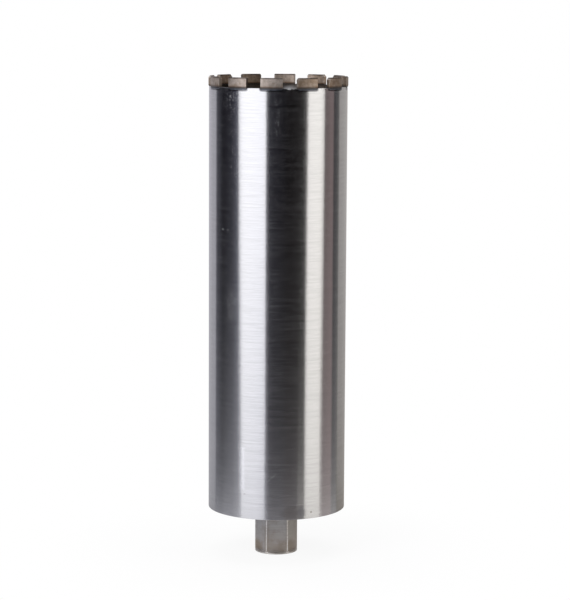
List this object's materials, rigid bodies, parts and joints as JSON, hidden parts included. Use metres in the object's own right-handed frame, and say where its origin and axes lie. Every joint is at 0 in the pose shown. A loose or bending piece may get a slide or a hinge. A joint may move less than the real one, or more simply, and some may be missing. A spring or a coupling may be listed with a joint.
{
  "type": "diamond core bit",
  "caption": "Wet-cutting diamond core bit: a long thin-walled steel tube with a crown of sintered diamond segments and a hexagonal drive hub with a female thread.",
  "frame": {"origin": "centre of the hub's lower end face, on the axis of the tube", "axes": "+Z along the axis from the hub towards the cutting crown; -Y is square to one flat of the hub; +X runs through two of the hub's corners"},
  "size_m": [0.152, 0.152, 0.5265],
  "materials": {
    "tube_steel": "bright drawn steel with fine circumferential grinding lines",
    "plate_steel": "turned steel disc, dull",
    "hub_steel": "milled steel, dull satin with a slight brown tint",
    "weld_metal": "welded bead, darkened by heat",
    "segment_bond": "matte sintered metal bond, grey-brown and grainy"
  },
  "bodies": {
    "root": {"barrel_tube": "tube_steel", "end_plate": "plate_steel", "drive_hub": "hub_steel", "hub_weld": "weld_metal", "segment_01": "segment_bond", "segment_02": "segment_bond", "segment_03": "segment_bond", "segment_04": "segment_bond", "segment_05": "segment_bond", "segment_06": "segment_bond", "segment_07": "segment_bond", "segment_08": "segment_bond", "segment_09": "segment_bond", "segment_10": "segment_bond", "segment_11": "segment_bond", "segment_12": "segment_bond"}
  },
  "joints": []
}
